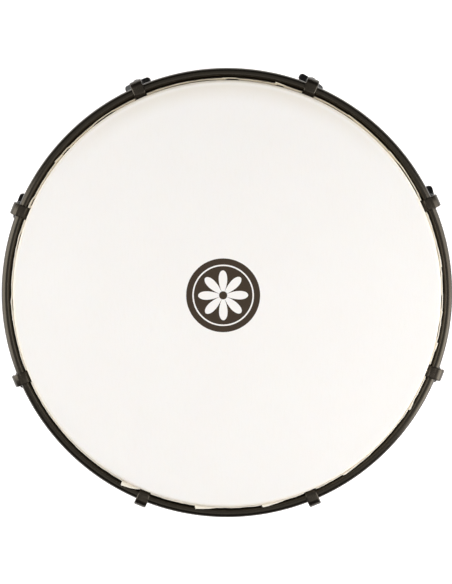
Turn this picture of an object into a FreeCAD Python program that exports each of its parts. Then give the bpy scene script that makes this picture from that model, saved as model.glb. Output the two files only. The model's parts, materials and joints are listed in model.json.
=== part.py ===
"""A bodhran: a tunable frame drum with a natural skin, a rod hoop and eight claw hooks.

Millimetres. The drum lies on its open back. The origin is the centre of the back rim, +Z points
through the head. Every station around the rim is built at azimuth 0 and turned into place, so in
the station functions X runs outwards from the drum's axis, Y along the rim and Z up.
"""
import FreeCAD, Part
import math
import os

V = FreeCAD.Vector

# Driving dimensions: shell and skin
SHELL_DIAMETER = 355.6          # 14 inch frame
SHELL_DEPTH = 100.0
SHELL_WALL = 8.0
BEARING_ROUND = 3.0             # outer round-over that the skin bends across
BEARING_CREST = 2.0             # flat crest left between the round-over and the inner bevel
BACK_ROUND = 1.5
SKIN_THICKNESS = 0.8
SEAT_GAP = 0.05                 # air left between pieces that rest on each other
ROD_GAP = 0.15                  # air left round a hoop's rod

# Driving dimensions: hoops, claws and tuning gear
STATIONS = 8
FIRST_STATION = 22.5            # degrees
HOOP_ROD = 8.0
HOOP_RADIUS = 185.0             # to the middle of the rod
HOOP_DROP = 9.0                 # shell's crest down to the middle of the rod
FLESH_ROD = 5.0
COLLAR_RISE = 5.0               # trimmed skin standing above the middle of the rod
STUD_RADIUS = 192.0             # drum's axis to a stud's axis
STUD_DIAMETER = 5.0             # M5, pitch 0.8
STUD_LENGTH = 58.0              # claw's top down to the stud's end
STRAP_WIDTH = 10.4
STRAP_TIP_WIDTH = 9.2
STRAP_THICKNESS = 1.7
STRAP_BEND = 7.0                # outer radius where the strap turns down outside the hoop
STRAP_SETBACK = 0.5             # stud's outer side standing out past the strap's face
LIP_BEND = 2.5                  # inner radius where the strap turns down inside the hoop
FORGED_LENGTH = 10.0            # flat strap drawn out into the round stud
STUD_CHAMFER = 0.5
LUG_SEAT = 55.5                 # height of the bracket's underside
LUG_THICKNESS = 2.5
LUG_PLATE = 2.0
LUG_WIDTH = 24.0
LUG_HEIGHT = 20.0
LUG_CORNER = 4.0                # rounded upper corners of the plate
LUG_NOSE = 4.1                  # rounded end of the shelf, round the stud
LUG_BEND = 1.5                  # inner radius between the plate and the shelf
WASHER_DIAMETER = 9.0
WASHER_THICKNESS = 1.0
HUB_RADIUS = 4.8
HUB_TAPER = 0.4
HUB_HEIGHT = 6.0
WING_SPAN = 23.5
WING_HALF_WIDTH = 3.1
WING_CORNER = 2.8               # rounding of the wings' ends, seen along the stud
WING_SHOULDER = 1.5             # seat down to where the wings leave the hub
EAR_RADIUS = 3.6
EAR_DROP = 7.8                  # seat down to the middle of an ear

# How far each station was drilled from even spacing, in degrees
STATION_DRIFT = (1.2, 0, 0.2, -0.3, -0.8, -0.6, -0.3, 1.2)

# Where each wing nut happens to stand, in degrees from a line along the rim
NUT_RESTS = (13, 11, 0, -4, 12, -8, 6, -14)

# Driving dimensions: screws and cross bar
SCREW_DIAMETER = 4.0
SCREW_SPREAD = 12.0             # between the two screws of a bracket
SCREW_OVERRUN = 2.0             # screw end standing out of its nut
HEAD_RADIUS = 3.6
HEAD_RISE = 2.4
RECESS_LENGTH = 4.0
RECESS_WIDTH = 0.9
RECESS_DEPTH = 1.3
NUT_ACROSS_FLATS = 7.0
NUT_THICKNESS = 3.2
INNER_WASHER_RADIUS = 4.4
INNER_WASHER_THICKNESS = 0.8
BAR_WIDTH = 26.0
BAR_THICKNESS = 12.0
BAR_ROUND = 3.0
BAR_LIFT = 16.0                 # back rim up to the bar
BAR_SCREW_SPREAD = 13.0
BAR_SCREW_LENGTH = 32.0
BAR_SCREW_POINT = 8.0
POINT_RADIUS = 0.4

# Clearances
STUD_HOLE_PLAY = 0.3            # radial, stud in bracket and washer
THREAD_PLAY = 0.05              # radial, stud in wing nut
SCREW_PLAY = 0.05               # radial, screw in its holes
HOOP_TO_SKIN = 0.5              # radial, everything that slides past the skin's side

# Worked out from the dimensions above
SHELL_OUTER = SHELL_DIAMETER / 2
SHELL_INNER = SHELL_OUTER - SHELL_WALL
SKIN_OUTER = SHELL_OUTER + SEAT_GAP + SKIN_THICKNESS
SKIN_TOP = SHELL_DEPTH + SEAT_GAP + SKIN_THICKNESS
HOOP_HEIGHT = SHELL_DEPTH - HOOP_DROP
HOOP_TOP = HOOP_HEIGHT + HOOP_ROD / 2
HOOP_INNER = HOOP_RADIUS - HOOP_ROD / 2
WRAP_RADIUS = FLESH_ROD / 2 + ROD_GAP + SKIN_THICKNESS
FLESH_RADIUS = SKIN_OUTER + HOOP_TO_SKIN + FLESH_ROD / 2
HOOP_SPACING = HOOP_ROD / 2 + ROD_GAP + WRAP_RADIUS
FLESH_HEIGHT = HOOP_HEIGHT - math.sqrt(HOOP_SPACING ** 2 - (HOOP_RADIUS - FLESH_RADIUS) ** 2)
STRAP_TOP = HOOP_TOP + ROD_GAP + STRAP_THICKNESS
STRAP_OUTER = STUD_RADIUS + STUD_DIAMETER / 2 - STRAP_SETBACK
LIP_INNER = HOOP_INNER - ROD_GAP - STRAP_THICKNESS
LUG_TOP = LUG_SEAT + LUG_HEIGHT
SCREW_HEIGHT = (LUG_SEAT + LUG_THICKNESS + LUG_TOP) / 2
SCREW_TURN = math.degrees(math.asin(SCREW_SPREAD / 2 / SHELL_OUTER))
SCREW_HOLE = SCREW_DIAMETER / 2 + SCREW_PLAY
STUD_HOLE = STUD_DIAMETER / 2 + STUD_HOLE_PLAY
BAR_MIDDLE = BAR_LIFT + BAR_THICKNESS / 2
NUT_SEAT = LUG_SEAT - WASHER_THICKNESS - 2 * SEAT_GAP


def ring(profile):
    """Turn a closed wire in the XZ plane round the drum's axis."""
    return Part.Face(profile).revolve(V(0, 0, 0), V(0, 0, 1), 360)


def polygon(points):
    """A closed wire through points (x, z) in the XZ plane."""
    corners = [V(x, 0, z) for x, z in points]
    return Part.makePolygon(corners + corners[:1])


def line(start, end):
    """A straight edge between two points (x, z)."""
    return Part.LineSegment(V(start[0], 0, start[1]), V(end[0], 0, end[1])).toShape()


def on_circle(centre, radius, degrees):
    """The point (x, z) at an angle on a circle in the XZ plane."""
    turn = math.radians(degrees)
    return (centre[0] + radius * math.cos(turn), centre[1] + radius * math.sin(turn))


def arc(centre, radius, start, end):
    """An arc in the XZ plane from one angle to another, in degrees."""
    points = [on_circle(centre, radius, turn) for turn in (start, (start + end) / 2, end)]
    return Part.Arc(*[V(x, 0, z) for x, z in points]).toShape()


def touch_point(corner, centre, radius, side):
    """Where a line from a corner touches a circle. side, 1 or -1, picks one of its two tangents."""
    across, along = corner[0] - centre[0], corner[1] - centre[1]
    turn = math.atan2(along, across) + side * math.acos(radius / math.hypot(across, along))
    return (centre[0] + radius * math.cos(turn), centre[1] + radius * math.sin(turn))


def rod_ring(radius, height, diameter):
    """A round rod bent to a hoop."""
    return Part.makeTorus(radius, diameter / 2, V(0, 0, height), V(0, 0, 1))


def turned(shape, degrees):
    """A copy of a shape turned about the drum's axis."""
    copy = shape.copy()
    copy.rotate(V(0, 0, 0), V(0, 0, 1), degrees)
    return copy


def station_angles():
    """The azimuths of the tuning stations."""
    return [FIRST_STATION + 360 / STATIONS * index + drift for index, drift in enumerate(STATION_DRIFT)]


def screw_angles():
    """The azimuths of the bracket screws, two to a station."""
    return [angle + side * SCREW_TURN for angle in station_angles() for side in (-1, 1)]


def radial_cylinder(radius, start, end, height):
    """A cylinder lying along X from one distance to another."""
    return Part.makeCylinder(radius, end - start, V(start, 0, height), V(1, 0, 0))


def bar_screw_places():
    """Each cross bar screw as (azimuth, sideways offset)."""
    half = BAR_SCREW_SPREAD / 2
    return [(angle, offset) for angle in (90, 270) for offset in (-half, half)]


def at_bar_screw(shape, place):
    """A shape built along X, moved to one of the cross bar's screws."""
    angle, offset = place
    copy = shape.copy()
    copy.translate(V(0, offset, 0))
    return turned(copy, angle)


def frame_shell():
    """Bent wooden shell: rounded bearing edge outside, bevel inside, drilled for its screws."""
    crest = SHELL_OUTER - BEARING_ROUND - BEARING_CREST
    bevel = crest - SHELL_INNER
    edges = [
        line((SHELL_INNER, BACK_ROUND), (SHELL_INNER, SHELL_DEPTH - bevel)),
        line((SHELL_INNER, SHELL_DEPTH - bevel), (crest, SHELL_DEPTH)),
        line((crest, SHELL_DEPTH), (crest + BEARING_CREST, SHELL_DEPTH)),
        arc((crest + BEARING_CREST, SHELL_DEPTH - BEARING_ROUND), BEARING_ROUND, 90, 0),
        line((SHELL_OUTER, SHELL_DEPTH - BEARING_ROUND), (SHELL_OUTER, BACK_ROUND)),
        arc((SHELL_OUTER - BACK_ROUND, BACK_ROUND), BACK_ROUND, 0, -90),
        line((SHELL_OUTER - BACK_ROUND, 0), (SHELL_INNER + BACK_ROUND, 0)),
        arc((SHELL_INNER + BACK_ROUND, BACK_ROUND), BACK_ROUND, 270, 180),
    ]
    shell = ring(Part.Wire(edges))
    start, end = SHELL_INNER - SHELL_WALL, SHELL_OUTER + SHELL_WALL
    lug_drill = radial_cylinder(SCREW_HOLE, start, end, SCREW_HEIGHT)
    bar_drill = radial_cylinder(SCREW_HOLE, start, end, BAR_MIDDLE)
    holes = [turned(lug_drill, angle) for angle in screw_angles()]
    holes += [at_bar_screw(bar_drill, place) for place in bar_screw_places()]
    return shell.cut(holes)


def skin_head():
    """Skin over the bearing edge and down the shell's side to the flesh hoop."""
    under = SHELL_DEPTH + SEAT_GAP
    inside = SHELL_OUTER + SEAT_GAP
    bend = (SHELL_OUTER - BEARING_ROUND, SHELL_DEPTH - BEARING_ROUND)
    inner_round = BEARING_ROUND + SEAT_GAP
    outer_round = inner_round + SKIN_THICKNESS
    edges = [
        line((0, under), (bend[0], under)),
        arc(bend, inner_round, 90, 0),
        line((inside, bend[1]), (inside, FLESH_HEIGHT)),
        line((inside, FLESH_HEIGHT), (SKIN_OUTER, FLESH_HEIGHT)),
        line((SKIN_OUTER, FLESH_HEIGHT), (SKIN_OUTER, bend[1])),
        arc(bend, outer_round, 0, 90),
        line((bend[0], SKIN_TOP), (0, SKIN_TOP)),
        line((0, SKIN_TOP), (0, under)),
    ]
    return ring(Part.Wire(edges))


def skin_collar():
    """Skin end wrapped under and round the flesh hoop, then turned up inside the tension hoop."""
    centre = (FLESH_RADIUS, FLESH_HEIGHT)
    tail_outer = HOOP_INNER - HOOP_TO_SKIN
    tail_inner = tail_outer - SKIN_THICKNESS
    inner_round = FLESH_ROD / 2 + ROD_GAP
    first = -120                # where the wrap starts, under the flesh hoop
    outer_turn = math.degrees(math.acos((tail_outer - FLESH_RADIUS) / WRAP_RADIUS))
    inner_turn = math.degrees(math.acos((tail_inner - FLESH_RADIUS) / inner_round))
    rise = HOOP_HEIGHT + COLLAR_RISE
    outer_foot = on_circle(centre, WRAP_RADIUS, outer_turn)
    inner_foot = on_circle(centre, inner_round, inner_turn)
    edges = [
        line(on_circle(centre, inner_round, first), on_circle(centre, WRAP_RADIUS, first)),
        arc(centre, WRAP_RADIUS, first, outer_turn),
        line(outer_foot, (tail_outer, rise)),
        line((tail_outer, rise), (tail_inner, rise)),
        line((tail_inner, rise), inner_foot),
        arc(centre, inner_round, inner_turn, first),
    ]
    collar = ring(Part.Wire(edges))
    notch_width = STRAP_TIP_WIDTH + 2 * HOOP_TO_SKIN
    notch_foot = HOOP_HEIGHT - HOOP_TO_SKIN
    notch = Part.makeBox(
        SHELL_WALL, notch_width, HOOP_ROD,
        V(SHELL_OUTER, -notch_width / 2, notch_foot))
    return collar.cut([turned(notch, angle) for angle in station_angles()])


def claw_strap():
    """The flat claw: a lip inside the hoop, a flat across it and a leg outside."""
    lip_round = LIP_BEND + STRAP_THICKNESS
    lip_centre = (LIP_INNER + lip_round, STRAP_TOP - lip_round)
    bend_centre = (STRAP_OUTER - STRAP_BEND, STRAP_TOP - STRAP_BEND)
    bend_inner = STRAP_BEND - STRAP_THICKNESS
    lip_outer = LIP_INNER + STRAP_THICKNESS
    leg_inner = STRAP_OUTER - STRAP_THICKNESS
    under = STRAP_TOP - STRAP_THICKNESS
    lip_foot = HOOP_HEIGHT
    leg_foot = bend_centre[1] - STRAP_THICKNESS
    edges = [
        line((LIP_INNER, lip_foot), (LIP_INNER, lip_centre[1])),
        arc(lip_centre, lip_round, 180, 90),
        line((lip_centre[0], STRAP_TOP), (bend_centre[0], STRAP_TOP)),
        arc(bend_centre, STRAP_BEND, 90, 0),
        line((STRAP_OUTER, bend_centre[1]), (STRAP_OUTER, leg_foot)),
        line((STRAP_OUTER, leg_foot), (leg_inner, leg_foot)),
        line((leg_inner, leg_foot), (leg_inner, bend_centre[1])),
        arc(bend_centre, bend_inner, 0, 90),
        line((bend_centre[0], under), (lip_centre[0], under)),
        arc(lip_centre, LIP_BEND, 90, 180),
        line((lip_outer, lip_centre[1]), (lip_outer, lip_foot)),
        line((lip_outer, lip_foot), (LIP_INNER, lip_foot)),
    ]
    strap = Part.Face(Part.Wire(edges)).extrude(V(0, STRAP_WIDTH, 0))
    strap.translate(V(0, -STRAP_WIDTH / 2, 0))
    tip, half = STRAP_TIP_WIDTH / 2, STRAP_WIDTH / 2
    corners = [
        V(LIP_INNER, -tip, 0), V(HOOP_RADIUS, -half, 0), V(STRAP_OUTER, -half, 0),
        V(STRAP_OUTER, half, 0), V(HOOP_RADIUS, half, 0), V(LIP_INNER, tip, 0),
    ]
    outline = Part.Face(Part.makePolygon(corners + corners[:1]))
    return strap.common(outline.extrude(V(0, 0, SHELL_DEPTH))), leg_foot


def claw_hook():
    """Claw forged in one with its threaded stud, which is a plain rod here."""
    strap, leg_foot = claw_strap()
    stud_top = leg_foot - FORGED_LENGTH
    stud_foot = STRAP_TOP - STUD_LENGTH
    stud_radius = STUD_DIAMETER / 2
    flat = Part.makePolygon([
        V(STRAP_OUTER - STRAP_THICKNESS * inward, STRAP_WIDTH * sideways, leg_foot)
        for inward, sideways in ((1, -0.5), (0, -0.5), (0, 0.5), (1, 0.5), (1, -0.5))])
    quarters = [
        Part.makeCircle(stud_radius, V(STUD_RADIUS, 0, stud_top), V(0, 0, 1), start, start + 90)
        for start in (-135, -45, 45, 135)]
    forged = Part.makeLoft([flat, Part.Wire(quarters)], True)
    stud = Part.makeCylinder(stud_radius, stud_top - stud_foot, V(STUD_RADIUS, 0, stud_foot))
    tip = Part.makeCone(
        stud_radius - STUD_CHAMFER, stud_radius, STUD_CHAMFER,
        V(STUD_RADIUS, 0, stud_foot - STUD_CHAMFER))
    return strap.fuse([forged, stud, tip]).removeSplitter()


def lug_plate():
    """The bracket's upright plate, curved to the shell, with rounded upper corners."""
    back = SHELL_OUTER + SEAT_GAP
    tube = Part.makeCylinder(back + LUG_PLATE, LUG_HEIGHT, V(0, 0, LUG_SEAT))
    tube = tube.cut(Part.makeCylinder(back, LUG_HEIGHT, V(0, 0, LUG_SEAT)))
    corner = V(back - SHELL_WALL, -LUG_WIDTH / 2, LUG_SEAT)
    slab = Part.makeBox(2 * SHELL_WALL, LUG_WIDTH, LUG_HEIGHT, corner)
    upper = [edge for edge in slab.Edges if is_upper_corner(edge)]
    return tube.common(slab.makeFillet(LUG_CORNER, upper))


def is_upper_corner(edge):
    """Whether an edge of the plate's slab runs outwards at the plate's upper end."""
    ends = [vertex.Point for vertex in edge.Vertexes]
    runs_out = abs(ends[0].x - ends[1].x) > SHELL_WALL
    return runs_out and min(end.z for end in ends) > LUG_TOP - SEAT_GAP


def lug_shelf():
    """The bracket's shelf, narrowing from the plate to a rounded nose that holds the stud."""
    back = SHELL_OUTER + SEAT_GAP
    corner = (back + LUG_PLATE, LUG_WIDTH / 2)
    touch = touch_point(corner, (STUD_RADIUS, 0), LUG_NOSE, -1)
    half_outline = [touch, corner, (back - SHELL_WALL, LUG_WIDTH / 2)]
    outline = [V(x, y, LUG_SEAT) for x, y in half_outline]
    outline += [V(x, -y, LUG_SEAT) for x, y in reversed(half_outline)]
    shelf = Part.Face(Part.makePolygon(outline + outline[:1])).extrude(V(0, 0, LUG_THICKNESS))
    shelf = shelf.fuse(Part.makeCylinder(LUG_NOSE, LUG_THICKNESS, V(STUD_RADIUS, 0, LUG_SEAT)))
    return shelf.cut(Part.makeCylinder(back, LUG_THICKNESS, V(0, 0, LUG_SEAT)))


def is_bend(edge):
    """Whether an edge lies in the corner between the bracket's plate and its shelf."""
    face = SHELL_OUTER + SEAT_GAP + LUG_PLATE
    return all(
        abs(end.Point.z - LUG_SEAT - LUG_THICKNESS) < SEAT_GAP
        and abs(math.hypot(end.Point.x, end.Point.y) - face) < SEAT_GAP
        for end in edge.Vertexes)


def lug_bracket():
    """L bracket: a plate screwed to the shell and a shelf that the stud passes through."""
    bracket = lug_plate().fuse(lug_shelf()).removeSplitter()
    bracket = bracket.makeFillet(LUG_BEND, [edge for edge in bracket.Edges if is_bend(edge)])
    stud_hole = Part.makeCylinder(STUD_HOLE, LUG_THICKNESS, V(STUD_RADIUS, 0, LUG_SEAT))
    screw_hole = radial_cylinder(SCREW_HOLE, SHELL_INNER, STUD_RADIUS, SCREW_HEIGHT)
    return bracket.cut([stud_hole, turned(screw_hole, SCREW_TURN), turned(screw_hole, -SCREW_TURN)])


def wing(side):
    """One wing of a wing nut in the XZ plane, a web that runs into a round ear."""
    ear = (side * (WING_SPAN / 2 - EAR_RADIUS), NUT_SEAT - EAR_DROP)
    shoulder = (side * HUB_RADIUS, NUT_SEAT - WING_SHOULDER)
    foot = (side * (HUB_RADIUS - HUB_TAPER), NUT_SEAT - HUB_HEIGHT)
    outline = polygon([
        (0, shoulder[1]), shoulder, touch_point(shoulder, ear, EAR_RADIUS, -side),
        touch_point(foot, ear, EAR_RADIUS, side), foot, (0, foot[1])])
    start = V(0, -WING_HALF_WIDTH, 0)
    web = Part.Face(outline).extrude(V(0, 2 * WING_HALF_WIDTH, 0))
    web.translate(start)
    disc = Part.makeCylinder(
        EAR_RADIUS, 2 * WING_HALF_WIDTH, V(ear[0], 0, ear[1]) + start, V(0, 1, 0))
    return web.fuse(disc)


def wing_plan():
    """The outline that both wings fill, seen along the stud: an oblong with round ends."""
    corner = V(-WING_SPAN / 2, -WING_HALF_WIDTH, 0)
    oblong = Part.makeBox(WING_SPAN, 2 * WING_HALF_WIDTH, SHELL_DEPTH, corner)
    upright = [edge for edge in oblong.Edges if edge.Length > SHELL_DEPTH - SEAT_GAP]
    return oblong.makeFillet(WING_CORNER, upright)


def wing_nut(rest):
    """Wing nut under the bracket's washer, its ears pointing down and away."""
    hub = Part.makeCone(
        HUB_RADIUS - HUB_TAPER, HUB_RADIUS, HUB_HEIGHT, V(0, 0, NUT_SEAT - HUB_HEIGHT))
    wings = wing(-1).fuse(wing(1)).common(wing_plan())
    nut = hub.fuse(wings)
    bore_radius = STUD_DIAMETER / 2 + THREAD_PLAY
    bore = Part.makeCylinder(bore_radius, 2 * HUB_HEIGHT, V(0, 0, NUT_SEAT - 1.5 * HUB_HEIGHT))
    nut = nut.cut(bore).removeSplitter()
    nut.rotate(V(0, 0, 0), V(0, 0, 1), 90 - rest)
    nut.translate(V(STUD_RADIUS, 0, 0))
    return nut


def stud_washer():
    """Flat washer between a bracket and its wing nut."""
    foot = V(STUD_RADIUS, 0, LUG_SEAT - SEAT_GAP - WASHER_THICKNESS)
    disc = Part.makeCylinder(WASHER_DIAMETER / 2, WASHER_THICKNESS, foot)
    return disc.cut(Part.makeCylinder(STUD_HOLE, WASHER_THICKNESS, foot))


def round_head(start, height):
    """A domed screw head lying along X, with a cross recess."""
    ball = (HEAD_RADIUS ** 2 + HEAD_RISE ** 2) / (2 * HEAD_RISE)
    crown = start + HEAD_RISE
    dome = Part.makeSphere(ball, V(crown - ball, 0, height))
    head = dome.common(radial_cylinder(2 * HEAD_RADIUS, start, crown + ball, height))
    recess = [
        Part.makeBox(RECESS_DEPTH, width, depth, V(crown - RECESS_DEPTH, -width / 2, height - depth / 2))
        for width, depth in ((RECESS_WIDTH, RECESS_LENGTH), (RECESS_LENGTH, RECESS_WIDTH))]
    return head.cut(recess)


def lug_screw():
    """Round-head screw that holds a bracket to the shell."""
    start = SHELL_OUTER + 2 * SEAT_GAP + LUG_PLATE
    end = SHELL_INNER - INNER_WASHER_THICKNESS - NUT_THICKNESS - SCREW_OVERRUN
    shank = radial_cylinder(SCREW_DIAMETER / 2, end, start, SCREW_HEIGHT)
    return shank.fuse(round_head(start, SCREW_HEIGHT))


def lug_screw_washer():
    """Washer against the shell's inner wall, lightly dished to its curve."""
    outer = SHELL_INNER - SEAT_GAP
    inner = outer - INNER_WASHER_THICKNESS
    start = inner - SCREW_DIAMETER
    disc = radial_cylinder(INNER_WASHER_RADIUS, start, SHELL_OUTER, SCREW_HEIGHT)
    disc = disc.common(Part.makeCylinder(outer, SHELL_DEPTH))
    hole = radial_cylinder(SCREW_HOLE, start, SHELL_OUTER, SCREW_HEIGHT)
    return disc.cut([Part.makeCylinder(inner, SHELL_DEPTH), hole])


def lug_screw_nut():
    """Hexagon nut inside the shell, chamfered on its open side."""
    end = SHELL_INNER - 2 * SEAT_GAP - INNER_WASHER_THICKNESS
    start = end - NUT_THICKNESS
    corner = NUT_ACROSS_FLATS / math.sqrt(3)
    corners = [V(start, 0, SCREW_HEIGHT) + V(0, y, z) for y, z in (
        on_circle((0, 0), corner, turn) for turn in range(0, 360, 60))]
    nut = Part.Face(Part.makePolygon(corners + corners[:1])).extrude(V(NUT_THICKNESS, 0, 0))
    trim = Part.makeCone(
        NUT_ACROSS_FLATS / 2, NUT_ACROSS_FLATS, NUT_ACROSS_FLATS, V(start, 0, SCREW_HEIGHT), V(1, 0, 0))
    return nut.common(trim).cut(radial_cylinder(SCREW_HOLE, start, end, SCREW_HEIGHT))


def cross_bar():
    """Flat wooden bar across the back, its ends fitted to the shell's inner wall."""
    length = SHELL_INNER * 2
    bar = Part.makeBox(BAR_WIDTH, length, BAR_THICKNESS, V(-BAR_WIDTH / 2, -length / 2, BAR_LIFT))
    bar = bar.makeFillet(BAR_ROUND, [edge for edge in bar.Edges if edge.Length > length - SEAT_GAP])
    bar = bar.common(Part.makeCylinder(SHELL_INNER - SEAT_GAP, SHELL_DEPTH))
    end = SHELL_OUTER - BAR_SCREW_LENGTH - SCREW_DIAMETER
    pilot = radial_cylinder(SCREW_HOLE, end, SHELL_OUTER, BAR_MIDDLE)
    return bar.cut([at_bar_screw(pilot, place) for place in bar_screw_places()])


def cross_bar_screw():
    """Pointed wood screw through the shell into the bar's end."""
    start = SHELL_OUTER + SEAT_GAP
    point = start - BAR_SCREW_LENGTH
    shank = radial_cylinder(SCREW_DIAMETER / 2, point + BAR_SCREW_POINT, start, BAR_MIDDLE)
    cone = Part.makeCone(
        POINT_RADIUS, SCREW_DIAMETER / 2, BAR_SCREW_POINT, V(point, 0, BAR_MIDDLE), V(1, 0, 0))
    return shank.fuse([cone, round_head(start, BAR_MIDDLE)])


def group(shapes):
    """Identical fasteners kept as separate solids in one node."""
    return Part.makeCompound(shapes)


def export(name, shape):
    """Write one node and report its solids."""
    shape.exportStep("parts/" + name + ".step")
    volume = round(shape.Volume / 1000, 2)
    print(name, len(shape.Solids), "solid(s)", volume, "cm3", "valid", shape.isValid())


def main():
    os.makedirs("parts", exist_ok=True)
    export("frame_shell", frame_shell())
    export("skin_head", skin_head())
    export("skin_collar", skin_collar())
    export("flesh_hoop", rod_ring(FLESH_RADIUS, FLESH_HEIGHT, FLESH_ROD))
    export("tension_hoop", rod_ring(HOOP_RADIUS, HOOP_HEIGHT, HOOP_ROD))
    claw, bracket = claw_hook(), lug_bracket()
    for number, angle in enumerate(station_angles(), start=1):
        export("claw_hook_%d" % number, turned(claw, angle))
        export("lug_bracket_%d" % number, turned(bracket, angle))
        export("wing_nut_%d" % number, turned(wing_nut(NUT_RESTS[number - 1]), angle))
    export("stud_washers", group([turned(stud_washer(), angle) for angle in station_angles()]))
    export("lug_screws", group([turned(lug_screw(), angle) for angle in screw_angles()]))
    export("lug_screw_washers", group([turned(lug_screw_washer(), angle) for angle in screw_angles()]))
    export("lug_screw_nuts", group([turned(lug_screw_nut(), angle) for angle in screw_angles()]))
    export("cross_bar", cross_bar())
    bar_screws = [at_bar_screw(cross_bar_screw(), place) for place in bar_screw_places()]
    export("cross_bar_screws", group(bar_screws))


main()
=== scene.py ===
"""The looks of a bodhran: its skin, hoop, claws, tuning gear and wood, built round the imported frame.

Metres, in the frame's own axes: +Z points through the head, and +Y is the top of the head as it is
usually seen. Sections are lists of (radius, height) that are turned about the drum's axis.
"""

import json
import math

import bmesh
import bpy
from mathutils import Matrix, Vector, noise


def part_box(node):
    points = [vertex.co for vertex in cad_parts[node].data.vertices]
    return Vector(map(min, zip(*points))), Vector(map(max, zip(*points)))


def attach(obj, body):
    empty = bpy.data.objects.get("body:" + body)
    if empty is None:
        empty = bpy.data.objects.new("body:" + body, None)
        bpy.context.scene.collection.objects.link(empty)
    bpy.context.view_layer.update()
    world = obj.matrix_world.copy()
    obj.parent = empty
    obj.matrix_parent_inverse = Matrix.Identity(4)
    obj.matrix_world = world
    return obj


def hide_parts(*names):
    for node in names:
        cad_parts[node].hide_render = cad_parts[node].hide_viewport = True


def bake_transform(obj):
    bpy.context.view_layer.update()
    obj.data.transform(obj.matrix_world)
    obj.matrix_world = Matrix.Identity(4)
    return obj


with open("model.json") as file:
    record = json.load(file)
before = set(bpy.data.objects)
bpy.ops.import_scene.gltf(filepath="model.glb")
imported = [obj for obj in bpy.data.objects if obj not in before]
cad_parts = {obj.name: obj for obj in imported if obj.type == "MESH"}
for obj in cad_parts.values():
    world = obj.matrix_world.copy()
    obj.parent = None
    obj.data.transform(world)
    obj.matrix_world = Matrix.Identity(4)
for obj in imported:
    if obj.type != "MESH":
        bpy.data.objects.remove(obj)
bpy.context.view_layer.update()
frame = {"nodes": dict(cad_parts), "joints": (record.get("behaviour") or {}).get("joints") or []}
nodes = frame["nodes"]

MM = 0.001
MERGE = 0.001 * MM                  # points closer than this are one point


def hoop_size(node):
    """Radius to the middle of a hoop's rod, height of its middle and thickness of the rod."""
    low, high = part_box(node)
    rod = round(high.z - low.z, 4)
    return high.x - rod / 2, (low.z + high.z) / 2, rod


# Places and sizes that the frame gives
SHELL_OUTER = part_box("frame_shell")[1].x
SHELL_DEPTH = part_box("frame_shell")[1].z
SKIN_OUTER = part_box("skin_head")[1].x
SKIN_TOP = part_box("skin_head")[1].z
HOOP_RADIUS, HOOP_HEIGHT, HOOP_ROD = hoop_size("tension_hoop")
FLESH_RADIUS, FLESH_HEIGHT, FLESH_ROD = hoop_size("flesh_hoop")
STUD_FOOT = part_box("claw_hook_1")[0].z
STRAP_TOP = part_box("claw_hook_1")[1].z
STATIONS = [joint["pos_m"] for joint in frame["joints"] if joint["name"].startswith("wing_nut")]
STUD_RADIUS = math.hypot(STATIONS[0][0], STATIONS[0][1])

# Shell
SHELL_WALL = 8 * MM
PLY = 1.6 * MM
SCARF_SLANT = 1.6                   # radians round the shell per metre of height

# Skin
SKIN_THICKNESS = 0.8 * MM
SKIN_BEND = 1.8 * MM                # inner radius of the dried skin's shoulder
WRAP_RADIUS = FLESH_ROD / 2 + 0.15 * MM + SKIN_THICKNESS / 2
WRAP_START = -120                   # degrees on the flesh hoop's section, under it
WRAP_END = 135
PUCKER = 0.12 * MM                  # unevenness of the skin's side
# painted shade: the colour that darkens the gap between the head's side and its trimmed end
GAP_SHADE = (0.15, 0.10, 0.06)
FOLD_SHADE = 0.85                   # share of the painted gap shade down in the fold round the head
TAIL_REST = SKIN_OUTER + SKIN_THICKNESS / 2 + 0.05 * MM     # where the end stands against the side
TAIL_FOOT = 1.2 * MM                # height above the hoop's middle where it begins to lean out
TAIL_BEND = 2.4 * MM                # height above its foot where it is bent
TAIL_RISE = 4.1 * MM                # height of its tip above the hoop's middle
TAIL_CLEARANCE = 0.85 * MM          # from its tip to the hoop's inner side

# Claws
STRAP_WIDTH = 10.4 * MM
STRAP_TIP_WIDTH = 9.2 * MM
STRAP_THICKNESS = 1.7 * MM
STRAP_BEND = 7 * MM                 # outer radius of the bend outside the hoop
STRAP_EDGE = 0.4 * MM               # rounding of the face on the hoop
STRAP_CROWN = 1.15 * MM             # rounding of the outer face
LIP_BEND = 2.5 * MM
LIP_FOOT = ((0.40, 0.0), (0.15, 0.12), (0.0, 0.4))      # its easing: inset and height in millimetres
CREASE = 0.22 * MM                  # dip across the strap where it was bent down
LIP_INNER = HOOP_RADIUS - HOOP_ROD / 2 - 0.15 * MM - STRAP_THICKNESS
STUD_DIAMETER = 5 * MM
STRAP_SETBACK = 0.5 * MM            # stud's outer side standing out past the strap's face
STRAP_OUTER = STUD_RADIUS + STUD_DIAMETER / 2 - STRAP_SETBACK
STUD_CHAMFER = 0.5 * MM
FORGED_LENGTH = 10 * MM
THREAD_PITCH = 0.8 * MM
THREAD_DEPTH = 0.42 * MM
THREAD_CREST = 0.05 * MM            # how far the thread's crests lie below the stud's full size
THREAD_LENGTH = 36 * MM

# Tuning gear
CASTING_VOXEL = 0.35 * MM
CASTING_PASSES = 12
PRESSED_EDGE = 0.35 * MM            # bevel of the brackets' edges

# Black coats
WARM = (1.0, 0.87, 0.68)            # tint of their reflections

# Print on the head
PRINT_CENTRE = (-3.2 * MM, 0.3 * MM)
PRINT_RADIUS = 31.0 * MM
PETALS = 8
PETAL_LENGTH = 21 * MM
HUB_RADIUS = 3.6 * MM
RING_RADIUS = 25.2 * MM
RING_HALF = 0.6 * MM                # half the width of the bare ring
INK_SOFT = 0.12 * MM                # half the width over which the ink fades at an edge
INK_FRAY = 0.35 * MM                # how far an edge wanders

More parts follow.
